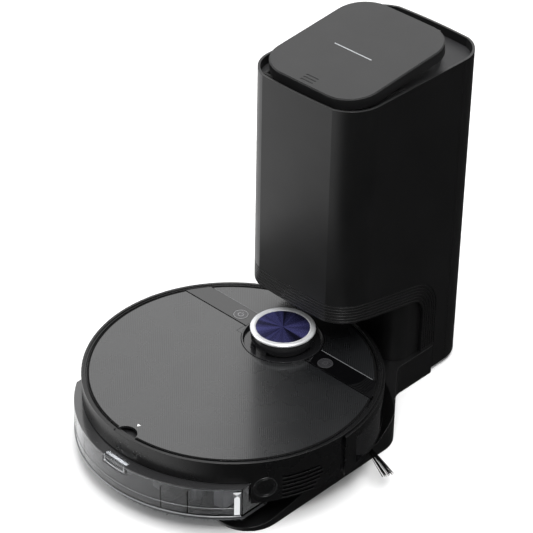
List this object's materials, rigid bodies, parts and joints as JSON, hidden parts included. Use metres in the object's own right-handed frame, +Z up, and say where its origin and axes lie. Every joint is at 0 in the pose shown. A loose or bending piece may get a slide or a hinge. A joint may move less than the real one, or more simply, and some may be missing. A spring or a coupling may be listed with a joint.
{
  "type": "robot vacuum",
  "caption": "Round robot vacuum and mop with a lidar turret, parked under a tall self-emptying station with a tilted lid.",
  "frame": {"origin": "on the floor, straight below the centre of the parked robot's round body", "axes": "+Y from the robot to the station, +X to the robot's right-hand side, +Z up"},
  "size_m": [0.3783, 0.523, 0.4536],
  "materials": {
    "shell_black": "satin moulded",
    "shell_dark": "fine matt",
    "base_black": "fine matt",
    "lid_grey": "satin moulded",
    "cover_smoke": "gloss over fine ridges",
    "strip_gloss": "polished",
    "button_gloss": "satin",
    "window_gloss": "polished",
    "ring_silver": "satin anodised",
    "disc_blue": "radially brushed, anodised",
    "tank_clear": "smoked clear",
    "tab_clear": "polished",
    "rubber_black": "matt",
    "tyre_rubber": "matt",
    "mop_fabric": "looped pile",
    "bristle_black": "satin",
    "frame_dark": "matt",
    "bag_fleece": "nonwoven",
    "card": "matt",
    "filter_white": "pleated",
    "motor_steel": "satin",
    "pin_steel": "polished",
    "contact_gold": "plated",
    "board_green": "solder mask",
    "cell_blue": "shrink sleeve",
    "light_strip": "frosted"
  },
  "bodies": {
    "station": {"base_plate": "base_black", "base_cover": "base_black", "rubber_feet": "rubber_black", "port_seal": "rubber_black", "column_cover": "shell_dark", "front_shell": "shell_black", "rear_shell": "shell_dark", "bag_chamber": "frame_dark", "dust_bag": "bag_fleece", "bag_card": "card", "suction_duct": "frame_dark", "fan_motor": "motor_steel", "exhaust_filter": "filter_white", "station_board": "board_green", "power_inlet": "shell_dark", "station_screws": "pin_steel", "lid_seal": "rubber_black", "lid_hinge_pins": "pin_steel"},
    "contact_pin_left": {"contact_left": "contact_gold"},
    "contact_pin_right": {"contact_right": "contact_gold"},
    "fan_wheel": {"fan_impeller": "frame_dark"},
    "lid": {"station_lid": "lid_grey", "lid_light": "light_strip"},
    "robot": {"chassis": "frame_dark", "body_shell": "shell_dark", "inner_deck": "frame_dark", "front_deck": "cover_smoke", "button_strip": "strip_gloss", "charge_pads": "contact_gold", "cover_hinge_pins": "pin_steel", "lidar_bezel": "strip_gloss", "lidar_cap": "strip_gloss", "lidar_ring": "ring_silver", "lidar_disc": "disc_blue", "dust_bin": "tank_clear", "bin_filter": "filter_white", "blower": "motor_steel", "battery": "cell_blue", "main_board": "board_green", "arm_pins": "pin_steel"},
    "power_key": {"power_button": "button_gloss"},
    "home_key": {"home_button": "button_gloss"},
    "cover": {"top_cover": "cover_smoke"},
    "lidar_spinner": {"lidar_rotor": "window_gloss"},
    "front_bumper": {"bumper": "shell_dark", "bumper_window": "window_gloss"},
    "tank": {"water_tank": "tank_clear", "tank_cover": "shell_dark", "mop_plate": "frame_dark", "mop_pad": "mop_fabric"},
    "tank_key": {"tank_tab": "tab_clear"},
    "suspension_left": {"arm_left": "frame_dark"},
    "suspension_right": {"arm_right": "frame_dark"},
    "drive_left": {"wheel_left": "tyre_rubber"},
    "drive_right": {"wheel_right": "tyre_rubber"},
    "caster_swivel": {"caster_fork": "frame_dark"},
    "caster_roll": {"caster_wheel": "tyre_rubber"},
    "side_brush": {"side_brush_hub": "frame_dark", "side_brush_bristles": "bristle_black"},
    "roller": {"main_roller": "rubber_black"}
  },
  "joints": [
    {"name": "robot_drive_out", "type": "slide", "parent": "station", "child": "robot", "axis": [0, -1, 0], "range_m": [0, 0.45]},
    {"name": "contact_left_press", "type": "slide", "parent": "station", "child": "contact_pin_left", "axis": [0, 0, -1], "range_m": [0, 0.003], "stiffness_N_per_m": 150},
    {"name": "contact_right_press", "type": "slide", "parent": "station", "child": "contact_pin_right", "axis": [0, 0, -1], "range_m": [0, 0.003], "stiffness_N_per_m": 150},
    {"name": "fan_spin", "type": "hinge", "parent": "station", "child": "fan_wheel", "pos_m": [0, 0.16, 0.221], "axis": [0, 0, 1], "continuous": true},
    {"name": "lid_hinge", "type": "hinge", "parent": "station", "child": "lid", "pos_m": [0, 0.284, 0.43535], "axis": [-1, 0, 0], "range_deg": [0, 75]},
    {"name": "power_press", "type": "slide", "parent": "robot", "child": "power_key", "axis": [0, 0, -1], "range_m": [0, 0.0008], "stiffness_N_per_m": 400},
    {"name": "home_press", "type": "slide", "parent": "robot", "child": "home_key", "axis": [0, 0, -1], "range_m": [0, 0.0008], "stiffness_N_per_m": 400},
    {"name": "cover_hinge", "type": "hinge", "parent": "robot", "child": "cover", "pos_m": [0, 0.065, 0.0943], "axis": [-1, 0, 0], "range_deg": [0, 50]},
    {"name": "lidar_spin", "type": "hinge", "parent": "robot", "child": "lidar_spinner", "pos_m": [0, 0.0854, 0.098], "axis": [0, 0, 1], "continuous": true},
    {"name": "bumper_press", "type": "slide", "parent": "robot", "child": "front_bumper", "axis": [0, -1, 0], "range_m": [0, 0.004], "stiffness_N_per_m": 300},
    {"name": "tank_pull", "type": "slide", "parent": "robot", "child": "tank", "axis": [0, -1, 0], "range_m": [0, 0.13]},
    {"name": "tab_press", "type": "slide", "parent": "tank", "child": "tank_key", "axis": [0, 1, 0], "range_m": [0, 0.002], "stiffness_N_per_m": 400},
    {"name": "suspension_left_lift", "type": "hinge", "parent": "robot", "child": "suspension_left", "pos_m": [-0.094, 0.058, 0.048], "axis": [-1, 0, 0], "range_deg": [0, 4]},
    {"name": "suspension_right_lift", "type": "hinge", "parent": "robot", "child": "suspension_right", "pos_m": [0.094, 0.058, 0.048], "axis": [-1, 0, 0], "range_deg": [0, 4]},
    {"name": "wheel_left_spin", "type": "hinge", "parent": "suspension_left", "child": "drive_left", "pos_m": [-0.113, 0.002, 0.0503], "axis": [1, 0, 0], "continuous": true},
    {"name": "wheel_right_spin", "type": "hinge", "parent": "suspension_right", "child": "drive_right", "pos_m": [0.113, 0.002, 0.0503], "axis": [1, 0, 0], "continuous": true},
    {"name": "caster_turn", "type": "hinge", "parent": "robot", "child": "caster_swivel", "pos_m": [0, 0.132, 0.053], "axis": [0, 0, 1], "continuous": true},
    {"name": "caster_spin", "type": "hinge", "parent": "caster_swivel", "child": "caster_roll", "pos_m": [0, 0.132, 0.0308], "axis": [1, 0, 0], "continuous": true},
    {"name": "side_brush_spin", "type": "hinge", "parent": "robot", "child": "side_brush", "pos_m": [0.12, 0.082, 0.024], "axis": [0, 0, 1], "continuous": true, "deforming": ["side_brush_bristles"]},
    {"name": "roller_spin", "type": "hinge", "parent": "robot", "child": "roller", "pos_m": [0, 0.03, 0.037], "axis": [1, 0, 0], "continuous": true}
  ]
}
